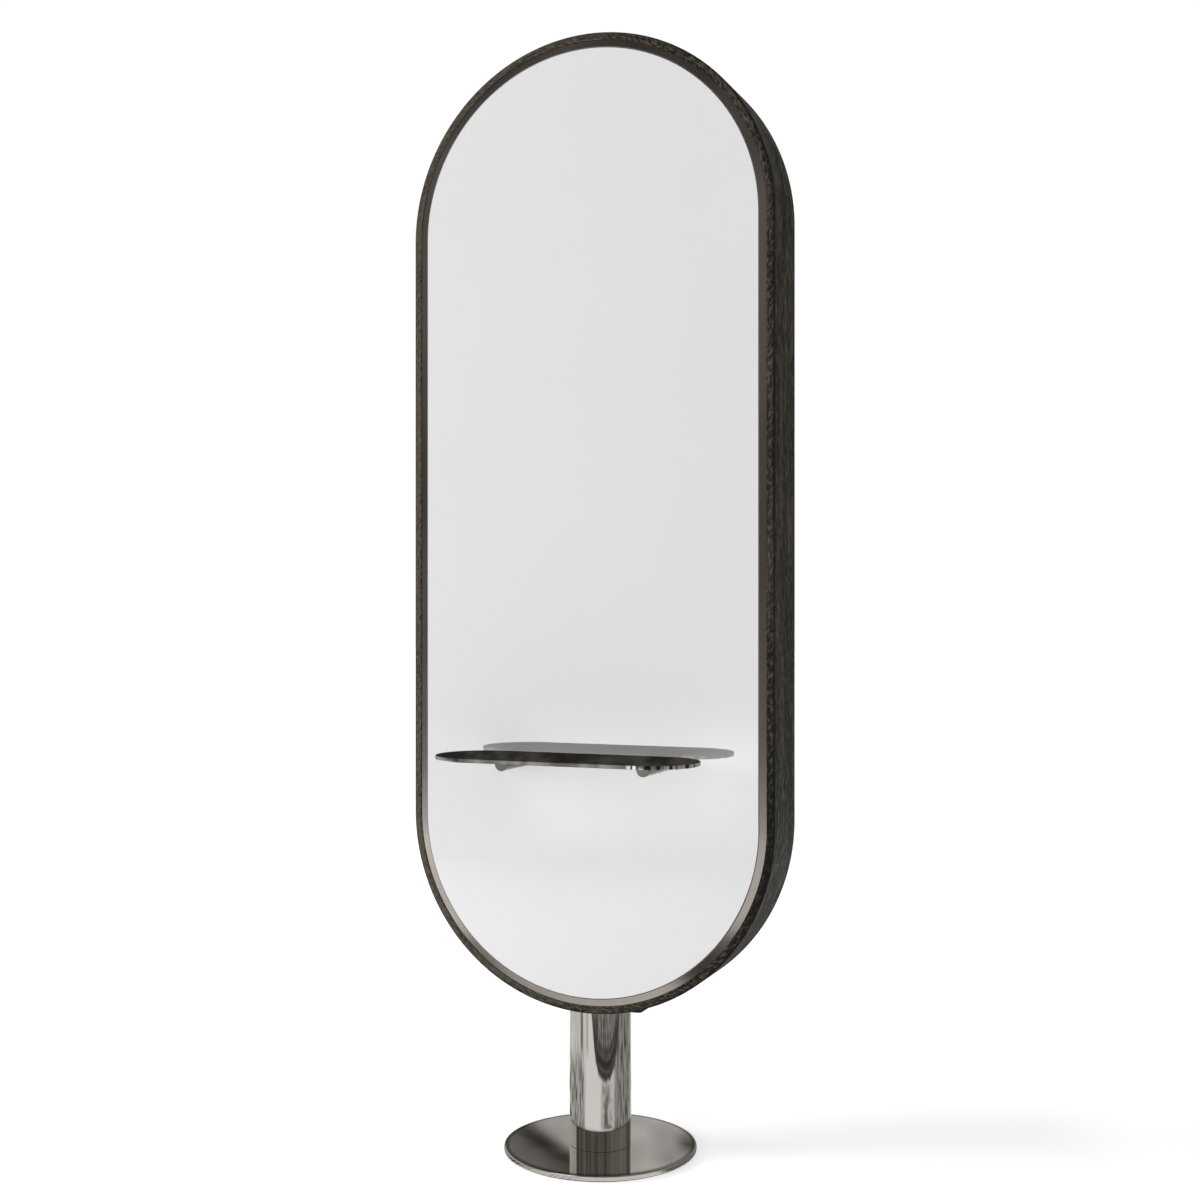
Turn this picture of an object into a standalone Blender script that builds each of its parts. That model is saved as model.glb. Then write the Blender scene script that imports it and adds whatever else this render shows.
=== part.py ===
# Salon styling mirror: a tall mirror case with round ends on a short column and a round floor plate.
# Lengths are in metres. The floor is z = 0, the column's axis is x = 0, y = 0, and the mirror faces -y.

from math import atan2, cos, pi, radians

import bmesh
import bpy
from mathutils import Matrix, Vector

for old in list(bpy.data.objects):
    bpy.data.objects.remove(old, do_unlink=True)

# Gaps left between pieces, and the distance within which a seam is welded
touching_gap = 0.0003
hole_gap = 0.0003
weld_distance = 0.00001
cutter_overrun = 0.010

# Smoothness of round pieces
case_arc_steps = 44
plate_steps = 72
column_steps = 48
small_steps = 18
screw_steps = 12
smooth_angle = radians(32)

# Floor pad and base plate
pad_thickness = 0.002
pad_inset = 0.0055
base_radius = 0.1775
base_thickness = 0.010
base_edge_break = 0.0008

# Column and the two flanges welded in its ends
column_radius = 0.057
column_wall = 0.003
foot_flange_thickness = 0.014
foot_flange_bore_radius = 0.015
head_flange_thickness = 0.012
head_flange_bore_radius = 0.012

# Screws from below the base plate
base_screw_count = 3
base_screw_circle = 0.035
base_screw_radius = 0.006
base_screw_head_radius = 0.0115
base_screw_head_height = 0.0055
base_screw_length = 0.022
base_screw_socket = 0.008
base_screw_socket_depth = 0.004

# Case: the bent hoop
case_width = 0.703
case_height = 1.776
case_depth = 0.134
case_bottom = 0.2655
hoop_wall = 0.018
hoop_lip = 0.0143
hoop_edge_break = 0.001

# Trim ring round the mirror
trim_width = 0.0130
trim_thickness = 0.0080
trim_stands_out = 0.001
trim_edge_break = 0.0006
trim_slope_width = 0.003
trim_slope_drop = 0.0012

# Mirror glass, its tape and its backing board
glass_thickness = 0.006
glass_stands_out = 0.002
glass_side_gap = 0.0008
glass_edge_break = 0.0007
board_thickness = 0.012
tape_width = 0.040
tape_past_straight = 0.012
tape_from_side = 0.1016
tape_shift_up = 0.040

# Saddle plate let into the underside of the hoop
saddle_length = 0.178
saddle_depth = 0.052
saddle_thickness = 0.012
saddle_corner = 0.008

# Bolts that clamp the case to the column
head_bolt_spacing_x = 0.076
head_bolt_spacing_y = 0.028
head_bolt_radius = 0.005
head_bolt_across_flats = 0.016
head_bolt_head_height = 0.0064
head_bolt_reach = 0.010

# Hardwood block in the bottom of the hoop
bottom_block_length = 0.180
bottom_block_depth = 0.090
bottom_block_thickness = 0.0165

# Steel spine inside the case
spine_foot_length = 0.160
spine_foot_depth = 0.086
spine_foot_thickness = 0.008
spine_side = 0.050
spine_wall = 0.003
spine_past_top_rail = 0.1586

# Cross rails
rail_thickness = 0.018
shelf_rail_height = 0.090
plain_rail_height = 0.070
middle_rail_above_middle = 0.0465
top_rail_below_arc = 0.0515
rail_bolt_radius = 0.004
rail_bolt_head_radius = 0.008
rail_bolt_head_height = 0.004
rail_bolt_past_wall = 0.010
rail_bolt_socket = 0.005
rail_bolt_socket_depth = 0.003

# Screws through the backing board into the rails
board_screw_from_side = 0.1117
board_screw_radius = 0.00225
board_screw_head_radius = 0.0045
board_screw_head_height = 0.0025
board_screw_length = 0.026
board_screw_socket = 0.0025
board_screw_socket_depth = 0.0018

# Shelf
shelf_length = 0.490
shelf_depth = 0.170
shelf_thickness = 0.007
shelf_top = 0.738
shelf_back_gap = 0.012
shelf_edge_break = 0.0006
shelf_arc_steps = 24

# Shelf pins, their washers, studs and nuts
pin_radius = 0.012
pin_length = 0.0725
pin_spacing = 0.272
pin_edge_break = 0.0008
pin_washer_thickness = 0.001
pin_washer_inset = 0.0005
stud_radius = 0.005
stud_in_pin = 0.025
stud_past_nut = 0.003
stud_hole_gap = 0.001
nut_height = 0.008
nut_across_flats = 0.016

# Screws up through the pins into the shelf
shelf_screw_radius = 0.003
shelf_screw_head_radius = 0.005
shelf_screw_head_height = 0.005
shelf_screw_sunk = 0.004
shelf_screw_thread = 0.0040
shelf_screw_from_tip = 0.018
shelf_screw_socket = 0.004
shelf_screw_socket_depth = 0.0025

# Back panel, its glue blocks and its screws
panel_thickness = 0.009
panel_inset = 0.001
panel_edge_break = 0.0005
panel_block_width = 0.025
panel_block_depth = 0.025
panel_block_length = 0.070
panel_block_arc_angle = radians(45)
panel_screw_radius = 0.002
panel_screw_head_radius = 0.004
panel_screw_head_height = 0.0022
panel_screw_length = 0.026
panel_screw_socket = 0.0022
panel_screw_socket_depth = 0.0016

# Sizes worked out from the ones above
case_radius = case_width / 2
case_half_straight = case_height / 2 - case_radius
case_middle = case_bottom + case_height / 2
case_front = case_depth / 2
hoop_inner_radius = case_radius - hoop_wall
inside_radius = hoop_inner_radius - touching_gap

trim_front = case_front + trim_stands_out
trim_back = trim_front - trim_thickness
trim_radius = case_radius - hoop_lip - touching_gap
trim_inner_radius = trim_radius - trim_width
rebate_floor = trim_back - touching_gap

glass_radius = trim_inner_radius - glass_side_gap
glass_front = case_front + glass_stands_out
glass_back = glass_front - glass_thickness
board_front = rebate_floor
board_back = board_front - board_thickness
tape_thickness = glass_back - board_front - 2 * touching_gap
tape_across = glass_radius - tape_from_side
tape_length = 2 * (case_half_straight + tape_past_straight)

rail_front = board_back - touching_gap
rail_back = rail_front - rail_thickness
rail_length = 2 * inside_radius
middle_rail_level = case_middle + middle_rail_above_middle
top_rail_level = case_middle + case_half_straight - top_rail_below_arc
board_screw_across = inside_radius - board_screw_from_side
spine_front = rail_back - touching_gap

base_bottom = pad_thickness + touching_gap
base_top = base_bottom + base_thickness
column_bottom = base_top + touching_gap
saddle_bottom = case_bottom - touching_gap
saddle_top = saddle_bottom + saddle_thickness
column_top = saddle_bottom - touching_gap
flange_radius = column_radius - column_wall - touching_gap

bottom_block_top = case_bottom + hoop_wall + bottom_block_thickness
spine_foot_bottom = bottom_block_top + touching_gap
spine_foot_top = spine_foot_bottom + spine_foot_thickness
spine_bottom = spine_foot_top + touching_gap
spine_length = top_rail_level + spine_past_top_rail - spine_bottom
head_bolt_seat = spine_foot_top + touching_gap
head_bolt_tip = column_top - head_bolt_reach

shelf_bottom = shelf_top - shelf_thickness
pin_level = shelf_bottom - touching_gap - pin_radius
pin_washer_back = glass_front + touching_gap
pin_back = pin_washer_back + pin_washer_thickness + touching_gap
pin_tip = pin_back + pin_length
nut_front = rail_back - touching_gap
nut_back = nut_front - nut_height
stud_back = nut_back - stud_past_nut
stud_front = pin_back + stud_in_pin - touching_gap
shelf_back = glass_front + shelf_back_gap
shelf_middle = shelf_back + shelf_depth / 2
shelf_screw_forward = pin_tip - shelf_screw_from_tip
shelf_screw_seat = pin_level - pin_radius + shelf_screw_sunk + shelf_screw_head_height

panel_back = -case_front + panel_inset
panel_front = panel_back + panel_thickness
panel_block_back = panel_front + touching_gap


def above_middle(level):
    """Turn a height above the floor into a height above the middle of the case."""
    return level - case_middle


def finish(name, colour, roughness, metallic):
    """Make a plain finish with one colour."""
    material = bpy.data.materials.new(name)
    material.use_nodes = True
    shader = material.node_tree.nodes["Principled BSDF"]
    shader.inputs["Base Color"].default_value = (*colour, 1)
    shader.inputs["Roughness"].default_value = roughness
    shader.inputs["Metallic"].default_value = metallic
    material.diffuse_color = (*colour, 1)
    return material


stained_oak = finish("stained_oak", (0.045, 0.041, 0.034), 0.55, 0.0)
dark_nickel = finish("dark_nickel", (0.21, 0.19, 0.17), 0.22, 1.0)
silvered_glass = finish("silvered_glass", (0.86, 0.87, 0.87), 0.03, 0.5)
polished_steel = finish("polished_steel", (0.55, 0.53, 0.50), 0.10, 1.0)
black_steel = finish("black_steel", (0.03, 0.03, 0.03), 0.45, 0.3)
plain_steel = finish("plain_steel", (0.40, 0.40, 0.40), 0.40, 1.0)
zinc_screw = finish("zinc_screw", (0.60, 0.60, 0.58), 0.35, 1.0)
black_rubber = finish("black_rubber", (0.02, 0.02, 0.02), 0.80, 0.0)
clear_nylon = finish("clear_nylon", (0.75, 0.75, 0.73), 0.35, 0.0)
foam_tape = finish("foam_tape", (0.12, 0.12, 0.12), 0.85, 0.0)
fibreboard = finish("fibreboard", (0.30, 0.22, 0.14), 0.75, 0.0)
beech = finish("beech", (0.62, 0.42, 0.26), 0.60, 0.0)


def close_shape(bm):
    """Weld the seams and point every face outwards."""
    bmesh.ops.remove_doubles(bm, verts=bm.verts, dist=weld_distance)
    bmesh.ops.recalc_face_normals(bm, faces=bm.faces)


def place_part(name, mesh, parent, at):
    """Put a mesh in the scene as one named piece."""
    piece = bpy.data.objects.new(name, mesh)
    piece.location = at
    piece.parent = parent
    bpy.context.collection.objects.link(piece)
    return piece


def part(name, bm, material, parent=None, at=(0, 0, 0)):
    """Finish a shape and make it a piece with its own finish."""
    close_shape(bm)
    mesh = bpy.data.meshes.new(name)
    bm.to_mesh(mesh)
    bm.free()
    mesh.materials.append(material)
    mesh.shade_smooth()
    mesh.set_sharp_from_angle(angle=smooth_angle)
    return place_part(name, mesh, parent, at)


def cutter(name, bm, parent=None, at=(0, 0, 0)):
    """Make a shape that only cuts others."""
    piece = part(name, bm, plain_steel, parent, at)
    piece.hide_render = True
    piece.display_type = "WIRE"
    return piece


def cut(piece, tool, operation="DIFFERENCE"):
    """Cut a piece with a tool, or keep only what the tool covers."""
    modifier = piece.modifiers.new(tool.name, "BOOLEAN")
    modifier.operation = operation
    modifier.solver = "EXACT"
    modifier.object = tool


def turned(bm, profile, steps, at=(0, 0, 0), closed=False):
    """Spin a (radius, height) profile about an upright axis; an open one starts and ends on the axis."""
    before = set(bm.verts)
    corners = [bm.verts.new((radius, 0, height)) for radius, height in profile]
    edges = [bm.edges.new(pair) for pair in zip(corners, corners[1:])]
    if closed:
        edges.append(bm.edges.new((corners[-1], corners[0])))
    bmesh.ops.spin(bm, geom=corners + edges, cent=(0, 0, 0), axis=(0, 0, 1), dvec=(0, 0, 0),
                   angle=2 * pi, steps=steps, use_merge=True)
    new_verts = [vert for vert in bm.verts if vert not in before]
    bmesh.ops.remove_doubles(bm, verts=new_verts, dist=weld_distance)
    new_verts = [vert for vert in bm.verts if vert not in before]
    bmesh.ops.translate(bm, verts=new_verts, vec=at)


def make_hexagon(bm, radius, across_flats):
    """Push the rings of one radius out to a hexagon, for a spanner or a key."""
    for vert in bm.verts:
        reach = vert.co.xy.length
        if abs(reach - radius) < weld_distance:
            angle = atan2(vert.co.y, vert.co.x) % radians(60) - radians(30)
            stretch = across_flats / 2 / cos(angle) / reach
            vert.co.x *= stretch
            vert.co.y *= stretch


def round_hole(radius, low, high):
    """Give the profile of a plain round hole."""
    return [(0, low), (radius, low), (radius, high), (0, high)]


def ring(inner, outer, low, high):
    """Give the closed profile of a plain ring."""
    return [(inner, low), (outer, low), (outer, high), (inner, high)]


def sunk_screw(radius, head_radius, head_height, length, socket, socket_depth):
    """Turn a countersunk screw whose head lies in the plane z = 0 and whose shank runs down."""
    socket_ring = socket / 2
    bm = bmesh.new()
    turned(bm, [(0, -socket_depth), (socket_ring, -socket_depth), (socket_ring, 0), (head_radius, 0),
                (radius, -head_height), (radius, -length), (0, -length)], screw_steps)
    make_hexagon(bm, socket_ring, socket)
    return bm


def sunk_hole(radius, head_radius, head_height, depth):
    """Give the profile of the hole for a countersunk screw, open above z = 0."""
    wide = head_radius + hole_gap
    narrow = radius + hole_gap
    return [(0, cutter_overrun), (wide, cutter_overrun), (wide, -hole_gap),
            (narrow, -head_height - hole_gap), (narrow, -depth), (0, -depth)]


def flip(bm):
    """Turn a shape over end to end, so that what ran down runs up."""
    bmesh.ops.rotate(bm, verts=bm.verts, cent=(0, 0, 0), matrix=Matrix.Rotation(pi, 3, "X"))


def add_shape(bm, other, at):
    """Add a finished shape to another at a place."""
    bmesh.ops.translate(other, verts=other.verts, vec=at)
    close_shape(other)
    mesh = bpy.data.meshes.new("added")
    other.to_mesh(mesh)
    other.free()
    bm.from_mesh(mesh)
    bpy.data.meshes.remove(mesh)


def box(bm, size, middle):
    """Add a box of one size about a middle point."""
    matrix = Matrix.Translation(middle) @ Matrix.Diagonal((*size, 1))
    bmesh.ops.create_cube(bm, size=1, matrix=matrix)


def rounded_box(bm, size, middle, corner):
    """Add a box with rounded upright corners."""
    box(bm, size, middle)
    upright = [edge for edge in bm.edges if abs(edge.verts[0].co.z - edge.verts[1].co.z) > size[2] / 2]
    bmesh.ops.bevel(bm, geom=upright, offset=corner, offset_type="OFFSET", segments=5, profile=0.5,
                    affect="EDGES", material=-1)


def moved_part(result):
    """Pick the new corners, and the edges between them, out of what an extrusion returns."""
    corners = [item for item in result if isinstance(item, bmesh.types.BMVert)]
    kept = set(corners)
    edges = [item for item in result if isinstance(item, bmesh.types.BMEdge) and kept.issuperset(item.verts)]
    return corners, edges


def sweep_round(bm, corners, edges, half_straight, steps):
    """Carry a section that starts at the right, low down, once round an upright outline with round ends."""
    for side in (1, -1):
        result = bmesh.ops.extrude_edge_only(bm, edges=edges)["geom"]
        corners, edges = moved_part(result)
        bmesh.ops.translate(bm, verts=corners, vec=(0, side * 2 * half_straight, 0))
        result = bmesh.ops.spin(bm, geom=corners + edges, cent=(0, side * half_straight, 0),
                                axis=(0, 0, 1), dvec=(0, 0, 0), angle=pi, steps=steps)["geom_last"]
        corners, edges = moved_part(result)


def hoop_shape(profile, radius, half_straight, steps):
    """Sweep a closed (inset, forward) section round the outline."""
    bm = bmesh.new()
    corners = [bm.verts.new((radius - inset, -half_straight, forward)) for inset, forward in profile]
    edges = [bm.edges.new((corners[index - 1], corners[index])) for index in range(len(corners))]
    sweep_round(bm, corners, edges, half_straight, steps)
    return bm


def sheet_shape(radius, half_straight, back, front, edge_break, steps):
    """Make a flat sheet with round ends and slightly broken edges."""
    bm = bmesh.new()
    profile = [(edge_break, back), (0, back + edge_break), (0, front - edge_break), (edge_break, front)]
    corners = [bm.verts.new((radius - inset, -half_straight, forward)) for inset, forward in profile]
    edges = [bm.edges.new(pair) for pair in zip(corners, corners[1:])]
    sweep_round(bm, corners, edges, half_straight, steps)
    bmesh.ops.remove_doubles(bm, verts=bm.verts, dist=weld_distance)
    bmesh.ops.holes_fill(bm, edges=bm.edges, sides=0)
    return bm


# Places measured in the case: x to the right, y up from its middle, z forward to the viewer
case_frame = bpy.data.objects.new("case_frame", None)
case_frame.location = (0, 0, case_middle)
case_frame.rotation_euler = (pi / 2, 0, 0)
bpy.context.collection.objects.link(case_frame)


def make_base():
    """Floor pad, base plate and the screws that hold the column on it."""
    shape = bmesh.new()
    turned(shape, round_hole(base_radius - pad_inset, 0, pad_thickness), plate_steps)
    part("floor_pad", shape, black_rubber)

    shape = bmesh.new()
    rim = base_radius - base_edge_break
    turned(shape, [(0, base_bottom), (rim, base_bottom), (base_radius, base_bottom + base_edge_break),
                   (base_radius, base_top - base_edge_break), (rim, base_top), (0, base_top)], plate_steps)
    base_plate = part("base_plate", shape, polished_steel)

    shape = bmesh.new()
    flange_bottom = column_bottom
    flange_top = flange_bottom + foot_flange_thickness
    turned(shape, ring(foot_flange_bore_radius, flange_radius, flange_bottom, flange_top),
           column_steps, closed=True)
    foot_flange = part("column_foot_flange", shape, plain_steel)

    places = []
    for index in range(base_screw_count):
        turn = Matrix.Rotation(2 * pi * index / base_screw_count, 3, "Z")
        places.append(turn @ Vector((0, base_screw_circle, base_bottom)))
    shape = bmesh.new()
    for place in places:
        hole = bmesh.new()
        turned(hole, sunk_hole(base_screw_radius, base_screw_head_radius, base_screw_head_height,
                               base_screw_length + foot_flange_thickness), small_steps)
        flip(hole)
        add_shape(shape, hole, place)
    holes = cutter("base_screw_holes", shape)
    cut(base_plate, holes)
    cut(foot_flange, holes)

    shape = sunk_screw(base_screw_radius, base_screw_head_radius, base_screw_head_height,
                       base_screw_length, base_screw_socket, base_screw_socket_depth)
    flip(shape)
    first = part("base_screw_1", shape, zinc_screw, at=places[0])
    for index in range(1, base_screw_count):
        place_part(f"base_screw_{index + 1}", first.data, None, places[index])


def make_column():
    """Column tube and the flange welded in its head."""
    shape = bmesh.new()
    turned(shape, ring(column_radius - column_wall, column_radius, column_bottom, column_top),
           column_steps, closed=True)
    part("column_tube", shape, polished_steel)

    shape = bmesh.new()
    turned(shape, ring(head_flange_bore_radius, flange_radius, column_top - head_flange_thickness, column_top),
           column_steps, closed=True)
    return part("column_head_flange", shape, plain_steel)


def make_hoop():
    """Bent hoop of the case, with a rebate for the trim and a pocket for the saddle plate."""
    profile = [(0, -case_front + hoop_edge_break), (0, case_front - hoop_edge_break),
               (hoop_edge_break, case_front), (hoop_lip, case_front), (hoop_lip, rebate_floor),
               (hoop_wall, rebate_floor), (hoop_wall, -case_front), (hoop_edge_break, -case_front)]
    shape = hoop_shape(profile, case_radius, case_half_straight, case_arc_steps)
    hoop = part("case_hoop", shape, stained_oak, case_frame)

    shape = bmesh.new()
    pocket_height = saddle_thickness + touching_gap + cutter_overrun
    pocket_top = saddle_top + touching_gap
    rounded_box(shape, (saddle_length + 2 * touching_gap, saddle_depth + 2 * touching_gap, pocket_height),
                (0, 0, pocket_top - pocket_height / 2), saddle_corner)
    cut(hoop, cutter("saddle_pocket", shape))
    return hoop


def make_saddle():
    """Steel saddle plate between the column and the hoop."""
    shape = bmesh.new()
    rounded_box(shape, (saddle_length, saddle_depth, saddle_thickness),
                (0, 0, (saddle_bottom + saddle_top) / 2), saddle_corner)
    return part("saddle_plate", shape, black_steel)


def make_bottom_block():
    """Hardwood block with a round underside that lies in the bottom of the hoop."""
    block_bottom = case_bottom + hoop_wall - touching_gap
    height = bottom_block_top - block_bottom
    shape = bmesh.new()
    box(shape, (bottom_block_length, bottom_block_depth, height), (0, 0, block_bottom + height / 2))
    block = part("bottom_block", shape, beech)

    shape = bmesh.new()
    turned(shape, round_hole(inside_radius, -bottom_block_depth, bottom_block_depth), 2 * case_arc_steps)
    cut(block, cutter("hoop_inside", shape, case_frame, (0, -case_half_straight, 0)), "INTERSECT")
    return block


def make_spine():
    """Foot plate and square tube that stand on the block."""
    shape = bmesh.new()
    box(shape, (spine_foot_length, spine_foot_depth, spine_foot_thickness),
        (0, 0, (spine_foot_bottom + spine_foot_top) / 2))
    foot = part("spine_foot", shape, plain_steel)

    shape = bmesh.new()
    middle_forward = spine_front - spine_side / 2
    middle_level = spine_bottom + spine_length / 2
    box(shape, (spine_side, spine_side, spine_length), (0, -middle_forward, middle_level))
    tube = part("spine_tube", shape, black_steel)
    inner_side = spine_side - 2 * spine_wall
    shape = bmesh.new()
    bore_length = spine_length + 2 * cutter_overrun
    box(shape, (inner_side, inner_side, bore_length), (0, -middle_forward, middle_level))
    cut(tube, cutter("spine_bore", shape))
    return foot, tube


def make_head_bolts(drilled):
    """Four bolts from the spine's foot plate down into the column's head flange."""
    length = head_bolt_seat - head_bolt_tip
    head_ring = head_bolt_across_flats / 2
    shape = bmesh.new()
    turned(shape, [(0, -length), (head_bolt_radius, -length), (head_bolt_radius, 0), (head_ring, 0),
                   (head_ring, head_bolt_head_height), (0, head_bolt_head_height)], small_steps)
    make_hexagon(shape, head_ring, head_bolt_across_flats)
    places = [(head_bolt_spacing_x / 2 * side, head_bolt_spacing_y / 2 * end, head_bolt_seat)
              for side in (-1, 1) for end in (-1, 1)]
    first = part("head_bolt_1", shape, zinc_screw, at=places[0])
    for index, place in enumerate(places[1:], start=2):
        place_part(f"head_bolt_{index}", first.data, None, place)

    shape = bmesh.new()
    for place in places:
        hole_depth = length + head_flange_thickness
        turned(shape, round_hole(head_bolt_radius + hole_gap, -hole_depth, cutter_overrun), small_steps, place)
    holes = cutter("head_bolt_holes", shape)
    for piece in drilled:
        cut(piece, holes)


def make_rails(tube):
    """Three cross rails on the front of the spine, each with one bolt into it."""
    rails = {}
    levels = {"shelf_rail": (pin_level, shelf_rail_height),
              "middle_rail": (middle_rail_level, plain_rail_height),
              "top_rail": (top_rail_level, plain_rail_height)}
    for name, (level, height) in levels.items():
        shape = bmesh.new()
        box(shape, (rail_length, height, rail_thickness), (0, 0, 0))
        middle = (0, above_middle(level), (rail_front + rail_back) / 2)
        rails[name] = part(name, shape, beech, case_frame, middle)

    bolt_length = rail_thickness + touching_gap + spine_wall + rail_bolt_past_wall
    places = [(0, above_middle(level), rail_front) for level, height in levels.values()]
    shape = sunk_screw(rail_bolt_radius, rail_bolt_head_radius, rail_bolt_head_height, bolt_length,
                       rail_bolt_socket, rail_bolt_socket_depth)
    first = part("rail_bolt_1", shape, zinc_screw, case_frame, places[0])
    for index, place in enumerate(places[1:], start=2):
        place_part(f"rail_bolt_{index}", first.data, case_frame, place)

    shape = bmesh.new()
    for place in places:
        turned(shape, sunk_hole(rail_bolt_radius, rail_bolt_head_radius, rail_bolt_head_height,
                                bolt_length + hole_gap), small_steps, place)
    holes = cutter("rail_bolt_holes", shape, case_frame)
    for piece in (*rails.values(), tube):
        cut(piece, holes)
    return rails


def make_board(rails):
    """Backing board and its screws into the middle and top rails."""
    shape = sheet_shape(inside_radius, case_half_straight, board_back, board_front, panel_edge_break,
                        case_arc_steps)
    board = part("backing_board", shape, fibreboard, case_frame)
    places = [(board_screw_across * side, above_middle(level), board_front)
              for level in (middle_rail_level, top_rail_level) for side in (-1, 1)]
    shape = sunk_screw(board_screw_radius, board_screw_head_radius, board_screw_head_height,
                       board_screw_length, board_screw_socket, board_screw_socket_depth)
    first = part("board_screw_1", shape, zinc_screw, case_frame, places[0])
    for index, place in enumerate(places[1:], start=2):
        place_part(f"board_screw_{index}", first.data, case_frame, place)

    shape = bmesh.new()
    for place in places:
        turned(shape, sunk_hole(board_screw_radius, board_screw_head_radius, board_screw_head_height,
                                board_screw_length + hole_gap), screw_steps, place)
    holes = cutter("board_screw_holes", shape, case_frame)
    for piece in (board, rails["middle_rail"], rails["top_rail"]):
        cut(piece, holes)
    return board


def make_mirror():
    """Mirror glass on its tape, and the trim ring round it."""
    for name, side in (("left", -1), ("centre", 0), ("right", 1)):
        shape = bmesh.new()
        box(shape, (tape_width, tape_length, tape_thickness), (0, 0, 0))
        middle = (tape_across * side, tape_shift_up, (board_front + glass_back) / 2)
        part(f"mirror_tape_{name}", shape, foam_tape, case_frame, middle)

    shape = sheet_shape(glass_radius, case_half_straight, glass_back, glass_front, glass_edge_break,
                        case_arc_steps)
    glass = part("mirror_glass", shape, silvered_glass, case_frame)

    profile = [(0, trim_back), (0, trim_front - trim_edge_break), (trim_edge_break, trim_front),
               (trim_width - trim_slope_width, trim_front), (trim_width, trim_front - trim_slope_drop),
               (trim_width, trim_back)]
    shape = hoop_shape(profile, trim_radius, case_half_straight, case_arc_steps)
    part("trim_ring", shape, dark_nickel, case_frame)
    return glass


def make_shelf_pins(drilled):
    """Two round pins held by studs and nuts, with a washer between pin and glass."""
    level = above_middle(pin_level)
    pins = []
    hole_radius = stud_radius + hole_gap
    washer_radius = pin_radius - pin_washer_inset
    places = {"left": -pin_spacing / 2, "right": pin_spacing / 2}
    for name, across in places.items():
        shape = bmesh.new()
        turned(shape, ring(hole_radius, washer_radius, 0, pin_washer_thickness), small_steps, closed=True)
        part(f"pin_washer_{name}", shape, clear_nylon, case_frame, (across, level, pin_washer_back))

        shape = bmesh.new()
        turned(shape, [(0, stud_in_pin), (hole_radius, stud_in_pin), (hole_radius, 0), (pin_radius, 0),
                       (pin_radius, pin_length - pin_edge_break), (pin_radius - pin_edge_break, pin_length),
                       (0, pin_length)], 2 * small_steps)
        pins.append(part(f"shelf_pin_{name}", shape, polished_steel, case_frame, (across, level, pin_back)))

        shape = bmesh.new()
        turned(shape, round_hole(stud_radius, 0, stud_front - stud_back), small_steps)
        part(f"shelf_stud_{name}", shape, zinc_screw, case_frame, (across, level, stud_back))

        shape = bmesh.new()
        nut_ring = nut_across_flats / 2
        turned(shape, ring(hole_radius, nut_ring, 0, nut_height), small_steps, closed=True)
        make_hexagon(shape, nut_ring, nut_across_flats)
        part(f"stud_nut_{name}", shape, zinc_screw, case_frame, (across, level, nut_back))

    shape = bmesh.new()
    for across in places.values():
        turned(shape, round_hole(stud_radius + stud_hole_gap, nut_front - cutter_overrun,
                                 glass_front + cutter_overrun), small_steps, (across, level, 0))
    holes = cutter("stud_holes", shape, case_frame)
    for piece in drilled:
        cut(piece, holes)
    return pins


def make_shelf(pins):
    """Shelf plate with round ends, screwed down on the pins from below."""
    shelf_end_radius = shelf_depth / 2
    shape = sheet_shape(shelf_end_radius, shelf_length / 2 - shelf_end_radius, shelf_bottom, shelf_top,
                        shelf_edge_break, shelf_arc_steps)
    bmesh.ops.rotate(shape, verts=shape.verts, cent=(0, 0, 0), matrix=Matrix.Rotation(pi / 2, 3, "Z"))
    shelf = part("shelf_plate", shape, polished_steel, at=(0, -shelf_middle, 0))

    tip = shelf_bottom + shelf_screw_thread
    length = tip - shelf_screw_seat
    socket_ring = shelf_screw_socket / 2
    socket_top = shelf_screw_socket_depth - shelf_screw_head_height
    shape = bmesh.new()
    turned(shape, [(0, socket_top), (socket_ring, socket_top), (socket_ring, -shelf_screw_head_height),
                   (shelf_screw_head_radius, -shelf_screw_head_height), (shelf_screw_head_radius, 0),
                   (shelf_screw_radius, 0), (shelf_screw_radius, length), (0, length)], screw_steps)
    make_hexagon(shape, socket_ring, shelf_screw_socket)
    places = {"left": (-pin_spacing / 2, -shelf_screw_forward, shelf_screw_seat),
              "right": (pin_spacing / 2, -shelf_screw_forward, shelf_screw_seat)}
    first = part("shelf_screw_left", shape, zinc_screw, at=places["left"])
    place_part("shelf_screw_right", first.data, None, places["right"])

    wide = shelf_screw_head_radius + hole_gap
    narrow = shelf_screw_radius + hole_gap
    shape = bmesh.new()
    for place in places.values():
        turned(shape, [(0, -2 * pin_radius), (wide, -2 * pin_radius), (wide, hole_gap), (narrow, hole_gap),
                       (narrow, length + hole_gap), (0, length + hole_gap)], small_steps, place)
    holes = cutter("shelf_screw_holes", shape)
    for piece in (*pins, shelf):
        cut(piece, holes)


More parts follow.
